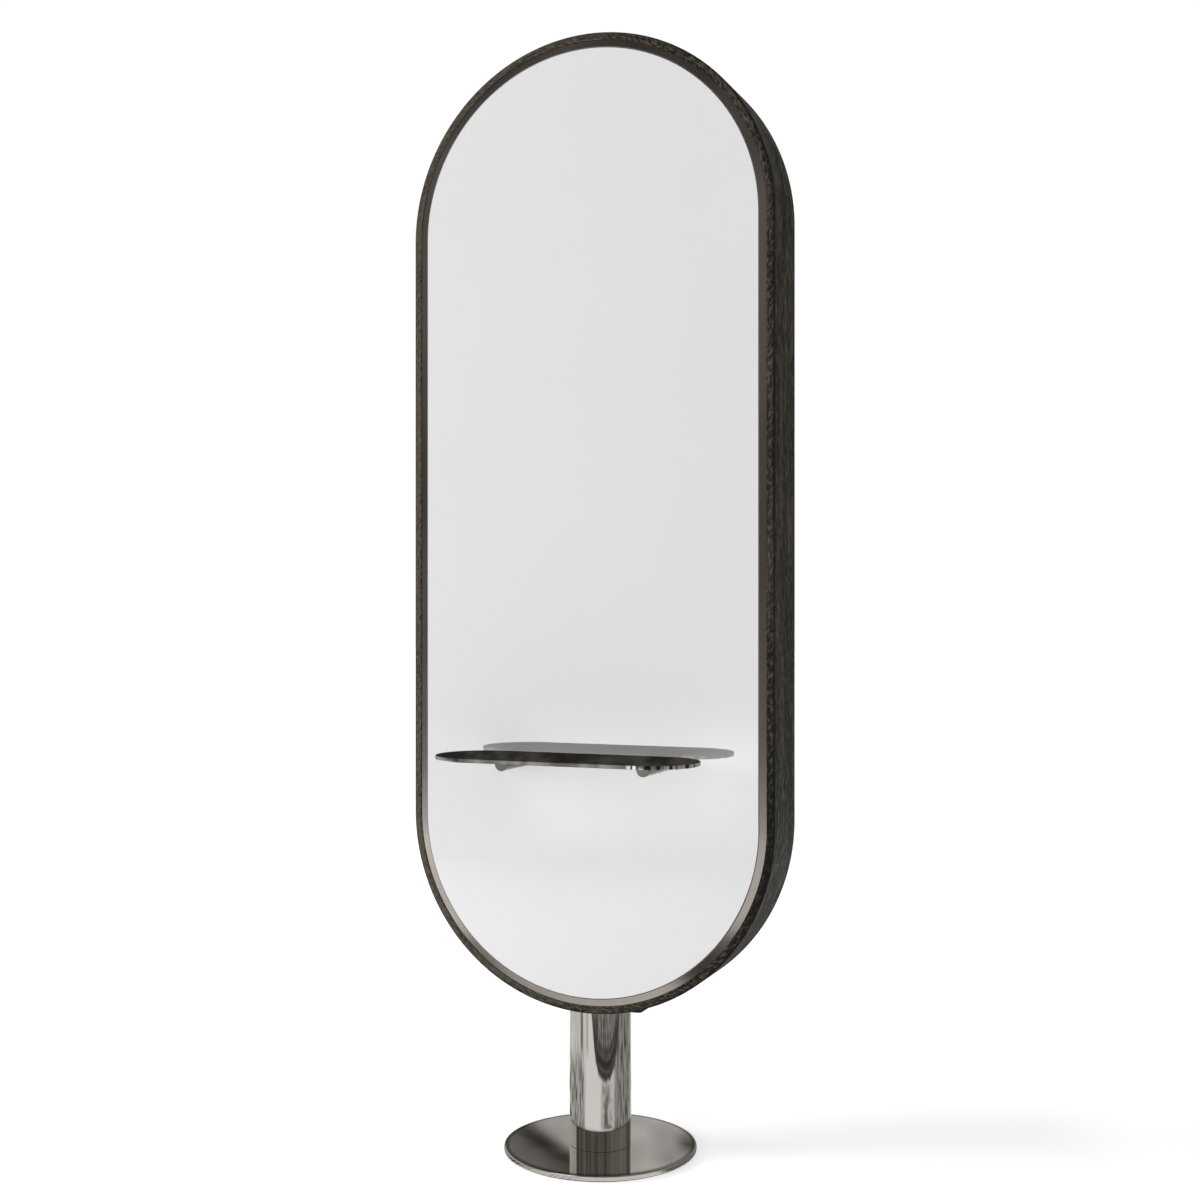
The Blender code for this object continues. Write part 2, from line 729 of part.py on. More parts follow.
def make_back():
    """Back panel, the glue blocks it screws to, and its screws."""
    shape = sheet_shape(inside_radius, case_half_straight, panel_back, panel_front, panel_edge_break,
                        case_arc_steps)
    panel = part("back_panel", shape, stained_oak, case_frame)

    low = panel_block_back
    high = panel_block_back + panel_block_depth
    blocks = []
    places = []
    middle_radius = inside_radius - panel_block_width / 2
    half_turn = panel_block_length / inside_radius / 2
    for side in (-1, 1):
        shape = bmesh.new()
        middle = (side * middle_radius, 0, (low + high) / 2)
        box(shape, (panel_block_width, panel_block_length, panel_block_depth), middle)
        blocks.append(shape)
        places.append(Vector((side * middle_radius, 0, panel_back)))
        for across in (-1, 1):
            centre = Vector((0, side * case_half_straight, 0))
            angle = side * panel_block_arc_angle if across > 0 else pi - side * panel_block_arc_angle
            shape = bmesh.new()
            corners = [shape.verts.new((radius, side * case_half_straight, forward))
                       for radius, forward in ring(inside_radius - panel_block_width, inside_radius, low, high)]
            edges = [shape.edges.new((corners[index - 1], corners[index])) for index in range(4)]
            bmesh.ops.rotate(shape, verts=corners, cent=centre, matrix=Matrix.Rotation(angle - half_turn, 3, "Z"))
            bmesh.ops.spin(shape, geom=corners + edges, cent=centre, axis=(0, 0, 1), dvec=(0, 0, 0),
                           angle=2 * half_turn, steps=6)
            bmesh.ops.holes_fill(shape, edges=shape.edges, sides=0)
            blocks.append(shape)
            places.append(centre + Matrix.Rotation(angle, 3, "Z") @ Vector((middle_radius, 0, panel_back)))

    shape = bmesh.new()
    for place in places:
        hole = bmesh.new()
        turned(hole, sunk_hole(panel_screw_radius, panel_screw_head_radius, panel_screw_head_height,
                               panel_screw_length + hole_gap), screw_steps)
        flip(hole)
        add_shape(shape, hole, place)
    holes = cutter("panel_screw_holes", shape, case_frame)
    cut(panel, holes)
    for index, block_shape in enumerate(blocks, start=1):
        block = part(f"panel_block_{index}", block_shape, beech, case_frame)
        cut(block, holes)

    shape = sunk_screw(panel_screw_radius, panel_screw_head_radius, panel_screw_head_height,
                       panel_screw_length, panel_screw_socket, panel_screw_socket_depth)
    flip(shape)
    first = part("panel_screw_1", shape, zinc_screw, case_frame, places[0])
    for index, place in enumerate(places[1:], start=2):
        place_part(f"panel_screw_{index}", first.data, case_frame, place)


make_base()
head_flange = make_column()
hoop = make_hoop()
saddle = make_saddle()
bottom_block = make_bottom_block()
spine_foot, spine_tube = make_spine()
make_head_bolts((head_flange, saddle, hoop, bottom_block, spine_foot))
rails = make_rails(spine_tube)
board = make_board(rails)
glass = make_mirror()
pins = make_shelf_pins((glass, board, rails["shelf_rail"]))
make_shelf(pins)
make_back()
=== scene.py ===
# Salon styling mirror: the looks of every piece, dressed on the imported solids, and the studio it stands in.
# Lengths are in metres. The floor is z = 0, the column's axis is x = 0, y = 0, and the mirror faces -y.

from math import cos, pi, radians, sin, tan

import bmesh
import bpy
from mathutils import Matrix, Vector


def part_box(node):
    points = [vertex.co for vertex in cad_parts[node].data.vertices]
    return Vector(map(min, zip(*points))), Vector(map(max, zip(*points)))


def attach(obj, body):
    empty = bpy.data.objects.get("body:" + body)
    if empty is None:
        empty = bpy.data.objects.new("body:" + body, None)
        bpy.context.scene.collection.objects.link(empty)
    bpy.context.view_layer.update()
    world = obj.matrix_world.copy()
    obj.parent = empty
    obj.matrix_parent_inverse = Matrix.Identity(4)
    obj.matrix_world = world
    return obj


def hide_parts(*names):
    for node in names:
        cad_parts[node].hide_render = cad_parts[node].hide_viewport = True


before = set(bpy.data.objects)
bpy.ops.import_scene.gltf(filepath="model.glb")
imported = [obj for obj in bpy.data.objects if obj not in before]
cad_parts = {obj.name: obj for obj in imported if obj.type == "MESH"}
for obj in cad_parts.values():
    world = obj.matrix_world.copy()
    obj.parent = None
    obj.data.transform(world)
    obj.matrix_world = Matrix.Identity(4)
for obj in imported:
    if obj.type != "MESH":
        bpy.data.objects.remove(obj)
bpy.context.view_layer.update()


# Floor pad
# A thin disc of black rubber glued under the base plate, a little smaller than the plate, so that only a
# dark line of it shows at the floor.
turn_steps = 160


class Wire:
    """One output of a material's node, so that sums over a surface read as plain arithmetic."""

    def __init__(self, tree, socket):
        self.tree = tree
        self.socket = socket

    def node(self, kind, settings, inputs, output=0):
        """Add a node: its settings first, then a value or a wire for each of its sockets."""
        made = self.tree.nodes.new(kind)
        for name, value in settings.items():
            setattr(made, name, value)
        for name, value in inputs.items():
            if isinstance(value, Wire):
                self.tree.links.new(value.socket, made.inputs[name])
            else:
                made.inputs[name].default_value = value
        return Wire(self.tree, made.outputs[output])

    def sum(self, operation, *values):
        return self.node("ShaderNodeMath", {"operation": operation}, dict(enumerate(values)))

    def __add__(self, other):
        return self.sum("ADD", self, other)

    def __radd__(self, other):
        return self.sum("ADD", other, self)

    def __sub__(self, other):
        return self.sum("SUBTRACT", self, other)

    def __rsub__(self, other):
        return self.sum("SUBTRACT", other, self)

    def __mul__(self, other):
        return self.sum("MULTIPLY", self, other)

    def __rmul__(self, other):
        return self.sum("MULTIPLY", other, self)

    def __truediv__(self, other):
        return self.sum("DIVIDE", self, other)

    def __pow__(self, other):
        return self.sum("POWER", self, other)

    def axis(self, index):
        """One of the three numbers of a place."""
        return self.node("ShaderNodeSeparateXYZ", {}, {0: self}, index)

    def stretched(self, *factors):
        """A place with each of its numbers times a factor."""
        return self.node("ShaderNodeVectorMath", {"operation": "MULTIPLY"}, {0: self, 1: factors})

    def noise(self, scale=1.0, detail=2.0):
        """Cloudy values round a half, over this place."""
        return self.node("ShaderNodeTexNoise", {}, {"Vector": self, "Scale": scale, "Detail": detail})

    def ramp(self, low, high, to_low=0.0, to_high=1.0):
        """A smooth step from to_low, at or under low, to to_high, at or over high."""
        ends = {"Value": self, "From Min": low, "From Max": high, "To Min": to_low, "To Max": to_high}
        return self.node("ShaderNodeMapRange", {"interpolation_type": "SMOOTHSTEP"}, ends)

    def colours(self, first, second):
        """The first colour where this mask is 0, and the second where it is 1."""
        ends = {0: self}
        for index, colour in ((6, first), (7, second)):
            ends[index] = colour if isinstance(colour, Wire) else (*colour, 1.0)
        return self.node("ShaderNodeMix", {"data_type": "RGBA"}, ends, 2)

    def into(self, shader, name):
        """Feed a socket of the main shader."""
        self.tree.links.new(self.socket, shader.inputs[name])

    def into_bump(self, shader, height, strength=1.0):
        """Make this mask stand out of the surface by a height in metres."""
        bump = self.node("ShaderNodeBump", {}, {"Strength": strength, "Distance": height, "Height": self})
        bump.into(shader, "Normal")


def new_finish(name, **values):
    """Start a finish: gives its material, the wire of a point's place, and its main shader."""
    material = bpy.data.materials.new(name)
    material.use_nodes = True
    tree = material.node_tree
    shader = tree.nodes["Principled BSDF"]
    for socket, value in values.items():
        shader.inputs[socket.replace("_", " ")].default_value = value
    place = Wire(tree, tree.nodes.new("ShaderNodeTexCoord").outputs["Object"])
    return material, place, shader


def new_piece(name, bm, material, slot, *nodes):
    """Turn a shape into a smooth piece that stands for solids of the frame and rides with them."""
    bmesh.ops.remove_doubles(bm, verts=bm.verts, dist=1e-6)
    bmesh.ops.recalc_face_normals(bm, faces=bm.faces)
    mesh = bpy.data.meshes.new(name)
    bm.to_mesh(mesh)
    bm.free()
    mesh.materials.append(material)
    mesh.shade_smooth()
    mesh.set_sharp_from_angle(angle=radians(50))
    piece = bpy.data.objects.new(name, mesh)
    bpy.context.scene.collection.objects.link(piece)
    weigh = piece.modifiers.new("flat faces stay flat", "WEIGHTED_NORMAL")
    weigh.keep_sharp = True
    weigh.weight = 100
    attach(piece, "root")
    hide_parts(*nodes)


def round_corners(bm, places, radius, segments=4):
    """Round the corners of a flat section that lie at the given places."""
    corners = [vert for vert in bm.verts if any((vert.co - Vector(place)).length < 1e-6 for place in places)]
    bmesh.ops.bevel(bm, geom=corners, offset=radius, affect="VERTICES", segments=segments, profile=0.5,
                    material=-1)


def section(bm, places, rounds):
    """Draw a flat closed section through the places and round some of its corners; gives its edges."""
    bm.faces.new([bm.verts.new(place) for place in places])
    for radius, corners in rounds:
        round_corners(bm, [places[corner] for corner in corners], radius)
    bmesh.ops.delete(bm, geom=list(bm.faces), context="FACES_ONLY")
    return list(bm.edges)


def turned(places, rounds, steps=turn_steps):
    """Spin a (radius, height) section about the column's axis."""
    bm = bmesh.new()
    edges = section(bm, [(radius, 0, height) for radius, height in places], rounds)
    bmesh.ops.spin(bm, geom=list(bm.verts) + edges, cent=(0, 0, 0), axis=(0, 0, 1), angle=2 * pi, steps=steps,
                   use_merge=True)
    return bm


def rubber_finish():
    material, place, shader = new_finish("black_rubber")
    scuffs = place.noise(140, 4)
    scuffs.ramp(0.35, 0.75).colours((0.012, 0.012, 0.012), (0.035, 0.034, 0.032)).into(shader, "Base Color")
    scuffs.ramp(0.3, 0.7, 0.65, 0.9).into(shader, "Roughness")
    place.noise(1800, 2).into_bump(shader, 0.0001)
    return material


pad_low, pad_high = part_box("floor_pad")
pad_radius = pad_high.x
pad_bore = 0.050
new_piece(
    "rubber_pad", turned([(pad_bore, pad_low.z), (pad_radius, pad_low.z), (pad_radius, pad_high.z),
                          (pad_bore, pad_high.z)], [(0.0004, (1, 2))]),
    rubber_finish(), "black_rubber", "floor_pad")


# Base plate
# A round of 10 mm stainless plate, turned and polished, with a rounded edge. A dark line is painted round the
# top,
# just inside that edge: a painted reflection of the dark that the rounded edge mirrors.
plate_edge = 0.0030
painted_edge_line_start = 0.011
painted_edge_line_full = 0.007
top_skin_low = 0.0008
top_skin_high = 0.0002


def polished_finish(name, grain, roughness, colour=(0.590, 0.573, 0.535), wander=0.93, cloud_scale=14,
                    painted_edge_line=None):
    """Polished metal whose last fine lines run along the grain: round an axis, up or along x.

    The painted edge line, for the round grain alone, is the radius and height of an edge; a painted dark
    reflection lies inside it.
    """
    material, place, shader = new_finish(name, Metallic=1.0)
    if grain == "round":
        x, y = place.axis(0), place.axis(1)
        away = (x * x + y * y) ** 0.5
        lines = place.node("ShaderNodeCombineXYZ", {}, {"X": away * 2600, "Z": place.axis(2)})
    elif grain == "up":
        lines = place.stretched(2200, 2200, 9)
    else:
        lines = place.stretched(9, 2200, 2200)
    fine = lines.noise(1, 2)
    clouds = place.noise(cloud_scale, 3)
    darker = tuple(part * wander for part in colour)
    tint = (fine * 0.5 + clouds * 0.5).ramp(0.3, 0.7).colours(darker, colour)
    if painted_edge_line:
        edge_radius, top_height = painted_edge_line
        on_top = place.axis(2).ramp(top_height - top_skin_low, top_height - top_skin_high)
        # Painted reflection: a dark line on the top, just inside the rounded edge, stands for the dark that
        # edge mirrors.
        line = away.ramp(edge_radius - painted_edge_line_start, edge_radius - painted_edge_line_full) * on_top
        tint = (line * 0.85).colours(tint, tuple(part * 0.25 for part in colour))
    tint.into(shader, "Base Color")
    marks = fine * 0.4 + clouds * 0.6
    marks.ramp(0.3, 0.7, roughness * 0.75, roughness * 1.3).into(shader, "Roughness")
    fine.into_bump(shader, 0.000002, 0.25)
    return material


plate_low, plate_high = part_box("base_plate")
plate_bore = 0.020
plate_finish = polished_finish("polished_plate", "round", 0.06, (0.602, 0.568, 0.522),
                               painted_edge_line=(plate_high.x, plate_high.z))
new_piece(
    "base_disc", turned([(plate_bore, plate_low.z), (plate_high.x, plate_low.z), (plate_high.x, plate_high.z),
                         (plate_bore, plate_high.z)], [(plate_edge, (1, 2))]),
    plate_finish, "polished_steel", "base_plate")


# Base screws
# Three countersunk screws of bright zinc-plated steel, driven from below through the plate into the flange
# that is welded in the foot of the column.
def dress(finish, *names):
    """Give solids of the frame that stay as they are their finish."""
    for name in names:
        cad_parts[name].data.materials[0] = finish


def numbered(name, count):
    return ["%s_%d" % (name, index) for index in range(1, count + 1)]


def zinc_finish():
    """Bright zinc plate: faintly cloudy, a little blue here and yellow there, with a fine tooth."""
    material, place, shader = new_finish("zinc_plate", Metallic=1.0)
    clouds = place.noise(160, 3)
    tint = place.noise(60, 2).ramp(0.35, 0.65).colours((0.52, 0.55, 0.58), (0.62, 0.60, 0.52))
    (clouds.ramp(0.3, 0.7) * 0.6).colours(tint, (0.42, 0.42, 0.41)).into(shader, "Base Color")
    clouds.ramp(0.3, 0.7, 0.26, 0.42).into(shader, "Roughness")
    place.noise(2600, 2).into_bump(shader, 0.00003, 0.4)
    return material


zinc = zinc_finish()
dress(zinc, *numbered("base_screw", 3))


# Column
# A stainless tube of 114 mm, cut square, ground and polished along its length, welded to a turned flange of
# plain steel at each end.
column_low, column_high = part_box("column_tube")
column_wall = 0.003
new_piece(
    "column", turned([(column_high.x - column_wall, column_low.z), (column_high.x, column_low.z),
                      (column_high.x, column_high.z), (column_high.x - column_wall, column_high.z)],
                     [(0.0004, (1, 2))], 192),
    polished_finish("polished_column", "up", 0.055), "polished_steel", "column_tube")


def turned_steel_finish():
    """Plain steel off the lathe: fine rings round the axis, oily grey patches and a first trace of rust."""
    material, place, shader = new_finish("turned_steel", Metallic=1.0)
    x, y = place.axis(0), place.axis(1)
    away = (x * x + y * y) ** 0.5
    rings = place.node("ShaderNodeCombineXYZ", {}, {"X": away * 2200, "Z": place.axis(2) * 2200})
    rings = rings.noise(1, 2)
    patches = place.noise(45, 4)
    grey = (rings * 0.4 + patches * 0.6).ramp(0.3, 0.7).colours((0.28, 0.28, 0.28), (0.46, 0.46, 0.45))
    rust = patches.ramp(0.66, 0.80)
    (rust * 0.7).colours(grey, (0.16, 0.07, 0.03)).into(shader, "Base Color")
    (rings.ramp(0.3, 0.7, 0.26, 0.44) + rust * 0.3).into(shader, "Roughness")
    rings.into_bump(shader, 0.00002, 0.5)
    return material


turned_steel = turned_steel_finish()
dress(turned_steel, "column_foot_flange", "column_head_flange")


# Head bolts
# Four zinc-plated hexagon bolts that clamp the case, through its saddle plate, to the column's head flange.
dress(zinc, *numbered("head_bolt", 4))


# Saddle plate
# A black powder-coated steel plate, let into the underside of the case, that spreads the case's weight.
def black_steel_finish():
    material, place, shader = new_finish("black_powder_coat", Specular_IOR_Level=0.35)
    peel = place.noise(900, 3)
    clouds = place.noise(60, 3).ramp(0.3, 0.8)
    clouds.colours((0.010, 0.010, 0.009), (0.020, 0.019, 0.018)).into(shader, "Base Color")
    peel.ramp(0.3, 0.7, 0.42, 0.58).into(shader, "Roughness")
    peel.into_bump(shader, 0.00006, 0.6)
    return material


black_steel = black_steel_finish()
dress(black_steel, "saddle_plate")


# Case hoop
# Thin layers of wood bent round a mould and glued, veneered in oak inside the lip, on the front edge and on
# the outside, and stained nearly black. The veneer's grain runs round the hoop.
# The finish paints light and shade on the front lip: lighter at the left, darker low on the right and along
# its outer corner.
hoop_wall = 0.018
hoop_lip = 0.0143
lip_round_width = 0.0065
lip_round_middle = 0.0022
lip_round_drop = 0.0010
lip_round_depth = 0.0030
arc_steps = 96
hoop_low, hoop_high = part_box("case_hoop")
case_radius = hoop_high.x
low_centre = hoop_low.z + case_radius
high_centre = hoop_high.z - case_radius
case_front = -hoop_low.y


def swept(places, rounds, steps=arc_steps):
    """Carry a (radius, distance in front) section once round the straight sides and the half-round ends."""
    bm = bmesh.new()
    rim = section(bm, [(radius, -front, low_centre) for radius, front in places], rounds)
    for centre, run in ((high_centre, high_centre - low_centre), (low_centre, low_centre - high_centre)):
        made = bmesh.ops.extrude_edge_only(bm, edges=rim)["geom"]
        moved = [item for item in made if isinstance(item, bmesh.types.BMVert)]
        rim = [item for item in made if isinstance(item, bmesh.types.BMEdge)]
        rim = [edge for edge in rim if all(vert in moved for vert in edge.verts)]
        bmesh.ops.translate(bm, verts=moved, vec=(0, 0, run))
        last = bmesh.ops.spin(bm, geom=moved + rim, cent=(0, 0, centre), axis=(0, -1, 0), angle=pi,
                              steps=steps)["geom_last"]
        rim = [item for item in last if isinstance(item, bmesh.types.BMEdge)]
    return bm


def round_the_case(place):
    """How far a point lies along the hoop, out from its middle line, and back to front."""
    x, z = place.axis(0), place.axis(2)
    reach = x.sum("ABSOLUTE", x)
    held = z.sum("MAXIMUM", z, low_centre)
    held = held.sum("MINIMUM", held, high_centre)
    rise = z - held
    bend = rise.sum("ARCTAN2", rise, reach)
    to_top = held + bend * case_radius - (high_centre + case_radius * pi / 2)
    along = to_top * x.sum("SIGN", x)
    out = (reach * reach + rise * rise) ** 0.5
    return along, out, place.axis(1)


def near(value, middle, half):
    """A soft mask that is 1 at a value's middle and 0 at its half width."""
    away = (value - middle).sum("ABSOLUTE", value - middle)
    return away.ramp(0.0, half, 1.0, 0.0)


def oak_finish(name, bent=True):
    """Black-stained oak: fibres, pores full of darker stain, slanting ray flecks; light and shade painted on
    the lip.
    """
    material, place, shader = new_finish(name, Specular_IOR_Level=0.16)
    if bent:
        along, out, back = round_the_case(place)
    else:
        along, out, back = place.axis(2), place.axis(0), place.axis(1)

    def over(along_scale, out_scale, back_scale, turn=0.0):
        length = along * cos(turn) + out * sin(turn)
        width = out * cos(turn) - along * sin(turn)
        sockets = {"X": length * along_scale, "Y": width * out_scale, "Z": back * back_scale}
        return place.node("ShaderNodeCombineXYZ", {}, sockets)

    on_lip = back.ramp(-case_front, 0.006 - case_front, 1.0, 0.0)
    fibres = over(14, 520, 520).noise(1, 3)
    bands = over(4, 90, 45).noise(1, 2)
    pores = over(60, 900, 420).noise(1, 1).ramp(0.55, 0.68)
    lip_flecks = over(95, 270, 270, radians(24)).noise(1, 2).ramp(0.46, 0.62)
    side_flecks = over(62, 300, 300).noise(1, 2).ramp(0.47, 0.66) * 0.85
    flecks = side_flecks + (lip_flecks - side_flecks) * on_lip
    tone = fibres.ramp(0.3, 0.7) * 0.30 + bands.ramp(0.3, 0.7) * 0.28 + flecks * 0.55 - pores * 0.30
    # Painted light on the front lip: lighter to the left, as if lit from there, and a painted shade low on
    # the right.
    painted_low_right_shade = place.axis(0).ramp(0.10, 0.32) * place.axis(2).ramp(0.60, 0.84, 0.34, 0.0)
    tone = (tone + on_lip * (place.axis(0).ramp(-0.36, 0.36, 0.28, -0.03) - painted_low_right_shade)).ramp(0.0, 1.0)
    # Painted shade: the lip is darkened along its outer corner, where the rounding turns from the light.
    painted_corner_shade = near(out, case_radius, 0.0050) * near(back, -case_front, 0.010) if bent else 0.0
    # The stain colour below carries the lip's painted light and shade as well as the grain.
    stained = tone * (1.0 - painted_corner_shade)
    stained.colours((0.0115, 0.0093, 0.0065), (0.102, 0.0900, 0.0695)).into(shader, "Base Color")
    tone.ramp(0.0, 1.0, 0.66, 0.50).into(shader, "Roughness")
    (fibres * 0.5 + flecks * 0.4 - pores).into_bump(shader, 0.00025, 0.5)
    return material


stained_oak = oak_finish("stained_oak")
hoop_inner = case_radius - hoop_wall
lip_inner = case_radius - hoop_lip
rebate_front = 0.0597
new_piece(
    "oak_hoop",
    swept([(hoop_inner, -case_front), (case_radius, -case_front), (case_radius, case_front - lip_round_depth),
           (case_radius - lip_round_middle, case_front - lip_round_drop),
           (case_radius - lip_round_width, case_front), (lip_inner, case_front),
           (lip_inner, rebate_front), (hoop_inner, rebate_front)],
          [(0.0010, (0, 1)), (0.0009, (2,)), (0.0011, (3,)), (0.0020, (4,)), (0.0006, (5,))]),
    stained_oak, "stained_oak", "case_hoop")


# Bottom block and cross rails
# Planed beech: a curved block glued in the bottom of the hoop, that gives the head bolts a flat seat, and
# three rails from side to side that carry the backing board and the shelf.
def beech_finish(name, grain):
    """Planed beech: pinkish straw, straight fibres, and the short brown flecks of its rays."""
    material, place, shader = new_finish(name, Specular_IOR_Level=0.30)
    along, across = {"sideways": ((1, 60, 60), (9, 170, 170)), "upright": ((60, 60, 1), (170, 170, 9))}[grain]
    fibres = place.stretched(*(14 * part for part in along)).noise(1, 3)
    rays = place.stretched(*(28 * part for part in across)).noise(0.25, 1).ramp(0.60, 0.70)
    boards = place.noise(6, 2)
    wood = (fibres * 0.6 + boards * 0.4).ramp(0.3, 0.7).colours((0.52, 0.33, 0.19), (0.68, 0.47, 0.30))
    (rays * 0.55).colours(wood, (0.30, 0.16, 0.08)).into(shader, "Base Color")
    fibres.ramp(0.3, 0.7, 0.48, 0.64).into(shader, "Roughness")
    (fibres - rays * 0.5).into_bump(shader, 0.00008, 0.5)
    return material


beech = beech_finish("planed_beech", "sideways")
dress(beech, "bottom_block", "shelf_rail", "middle_rail", "top_rail")


# Spine
# A square steel tube, powder-coated black, welded to a plain foot plate that the head bolts hold. Three
# zinc-plated bolts fix the rails to it.
dress(turned_steel, "spine_foot")
dress(black_steel, "spine_tube")
dress(zinc, *numbered("rail_bolt", 3))


# Backing board
# Raw fibreboard, let into the front of the hoop behind the trim and held to two of the rails with four
# screws.
def fibreboard_finish():
    """Pressed fibres: a brown felt of fine short hairs with a slightly closed skin."""
    material, place, shader = new_finish("raw_fibreboard", Specular_IOR_Level=0.20)
    hairs = place.noise(900, 4)
    clumps = place.noise(90, 3)
    (hairs * 0.6 + clumps * 0.4).ramp(0.3, 0.7).colours((0.22, 0.155, 0.095), (0.38, 0.285, 0.19)).into(
        shader, "Base Color")
    clumps.ramp(0.3, 0.7, 0.70, 0.88).into(shader, "Roughness")
    hairs.into_bump(shader, 0.00010, 0.6)
    return material


dress(fibreboard_finish(), "backing_board")
dress(zinc, *numbered("board_screw", 4))


# Mirror tape
# Three upright strips of black closed-cell foam, sticky on both faces, that hold the glass to the board.
def foam_finish():
    """Closed-cell foam: dull charcoal, all fine pits."""
    material, place, shader = new_finish("foam_tape", Specular_IOR_Level=0.15)
    cells = place.node("ShaderNodeTexVoronoi", {}, {"Vector": place, "Scale": 1800.0})
    cells.ramp(0.1, 0.6).colours((0.045, 0.045, 0.045), (0.15, 0.15, 0.148)).into(shader, "Base Color")
    cells.ramp(0.1, 0.6, 0.95, 0.80).into(shader, "Roughness")
    cells.into_bump(shader, 0.00015, 0.7)
    return material


dress(foam_finish(), *("mirror_tape_" + side for side in ("left", "centre", "right")))


# Trim ring
# A flat bar of dark nickel-plated steel, bent to the hoop and laid inside its lip. Its face leans outwards
# ten degrees, and its front edges are softened.
trim_low, trim_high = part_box("trim_ring")
trim_outer = trim_high.x
trim_width = 0.0130
trim_inner = trim_outer - trim_width
trim_front = -trim_low.y
trim_back = -trim_high.y
trim_lean = radians(10)
trim_edge = 0.0007
new_piece(
    "nickel_trim",
    swept([(trim_inner, trim_back), (trim_outer, trim_back),
           (trim_outer, trim_front - trim_width * tan(trim_lean)), (trim_inner, trim_front)],
          [(0.0003, (2,)), (trim_edge, (3,))]),
    polished_finish("dark_nickel", "along", 0.16, (0.42, 0.387, 0.350), 0.72, 4), "dark_nickel", "trim_ring")


# Mirror glass
# Six millimetre float glass, silvered behind, with a polished edge. The foam tape holds it to the backing
# board, and it stands a millimetre in front of the trim.
glass_low, glass_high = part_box("mirror_glass")
glass_radius = glass_high.x
glass_edge = 0.0009


def plate_shape(ends, radius, side, axis, thickness, edge, steps):
    """A plate with half-round ends: its outline is drawn by spinning a point about each end in turn."""
    bm = bmesh.new()
    point = bm.verts.new(Vector(ends[0]) + Vector(side) * radius)
    for centre, other in (ends, reversed(ends)):
        spun = bmesh.ops.spin(bm, geom=[point], cent=centre, axis=axis, angle=pi, steps=steps)["geom_last"]
        point = bmesh.ops.extrude_vert_indiv(bm, verts=spun)["verts"][0]
        point.co += Vector(other) - Vector(centre)
    bmesh.ops.remove_doubles(bm, verts=bm.verts, dist=1e-5)
    filled = bmesh.ops.contextual_create(bm, geom=list(bm.edges))["faces"]
    walls = bmesh.ops.extrude_face_region(bm, geom=filled)["geom"]
    moved = [item for item in walls if isinstance(item, bmesh.types.BMVert)]
    bmesh.ops.translate(bm, verts=moved, vec=thickness)
    bmesh.ops.recalc_face_normals(bm, faces=bm.faces)
    rims = [line for line in bm.edges if len(line.link_faces) == 2 and line.calc_face_angle() > radians(60)]
    bmesh.ops.bevel(bm, geom=rims, offset=edge, affect="EDGES", segments=3, profile=0.5, material=-1)
    return bm


def mirror_finish():
    material, place, shader = new_finish("silvered_glass", Metallic=0.57, Roughness=0.02)
    clouds = place.noise(3, 2)
    clouds.ramp(0.3, 0.7).colours((0.774, 0.774, 0.774), (0.782, 0.782, 0.782)).into(shader, "Base Color")
    clouds.ramp(0.3, 0.7, 0.015, 0.03).into(shader, "Roughness")
    return material


glass_ends = [(0, glass_high.y, high_centre), (0, glass_high.y, low_centre)]
new_piece(
    "mirror", plate_shape(glass_ends, glass_radius, (1, 0, 0), (0, -1, 0),
                          (0, glass_low.y - glass_high.y, 0), glass_edge, arc_steps),
    mirror_finish(), "silvered_glass", "mirror_glass")


# Shelf pins
# Two short bars of 24 mm polished steel, end on to the mirror, with a clear nylon washer behind each. A
# zinc-plated stud draws each pin up through glass, board and rail, with a nut at the back of the rail.
def nylon_finish():
    """Clear nylon: milky, smooth, with faint flow marks from the mould."""
    material, place, shader = new_finish("clear_nylon", Specular_IOR_Level=0.45)
    flow = place.stretched(1, 1, 3).noise(220, 3)
    flow.ramp(0.3, 0.7).colours((0.70, 0.70, 0.67), (0.79, 0.79, 0.77)).into(shader, "Base Color")
    flow.ramp(0.3, 0.7, 0.30, 0.42).into(shader, "Roughness")
    flow.into_bump(shader, 0.00002, 0.3)
    return material


nylon = nylon_finish()
pin_edge = 0.0012
pin_steps = 64
# Painted reflection: the polished steel pins are given a dark colour that stands for the dark they mirror.
pin_steel_painted_dark = polished_finish("polished_pin_painted_dark", "along", 0.09, (0.15, 0.143, 0.13))
for side in ("left", "right"):
    pin_low, pin_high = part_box("shelf_pin_" + side)
    pin_centre = (pin_low + pin_high) / 2
    pin_radius = (pin_high.x - pin_low.x) / 2
    pin_length = pin_high.y - pin_low.y
    bm = bmesh.new()
    bmesh.ops.create_circle(bm, cap_ends=True, segments=pin_steps, radius=pin_radius)
    wall = bmesh.ops.extrude_face_region(bm, geom=list(bm.faces))["geom"]
    moved = [item for item in wall if isinstance(item, bmesh.types.BMVert)]
    bmesh.ops.translate(bm, verts=moved, vec=(0, 0, pin_length))
    bmesh.ops.recalc_face_normals(bm, faces=bm.faces)
    rims = [line for line in bm.edges if line.calc_face_angle() > radians(60)]
    bmesh.ops.bevel(bm, geom=rims, offset=pin_edge, affect="EDGES", segments=3, profile=0.5, material=-1)
    from_upright = Vector((0, 0, 1)).rotation_difference(Vector((0, 1, 0))).to_matrix()
    bmesh.ops.rotate(bm, verts=bm.verts, cent=(0, 0, 0), matrix=from_upright)
    bmesh.ops.translate(bm, verts=bm.verts, vec=(pin_centre.x, pin_low.y, pin_centre.z))
    new_piece("shelf_bar_" + side, bm, pin_steel_painted_dark, "polished_steel", "shelf_pin_" + side)
    dress(nylon, "pin_washer_" + side)
    dress(zinc, "shelf_stud_" + side, "stud_nut_" + side)


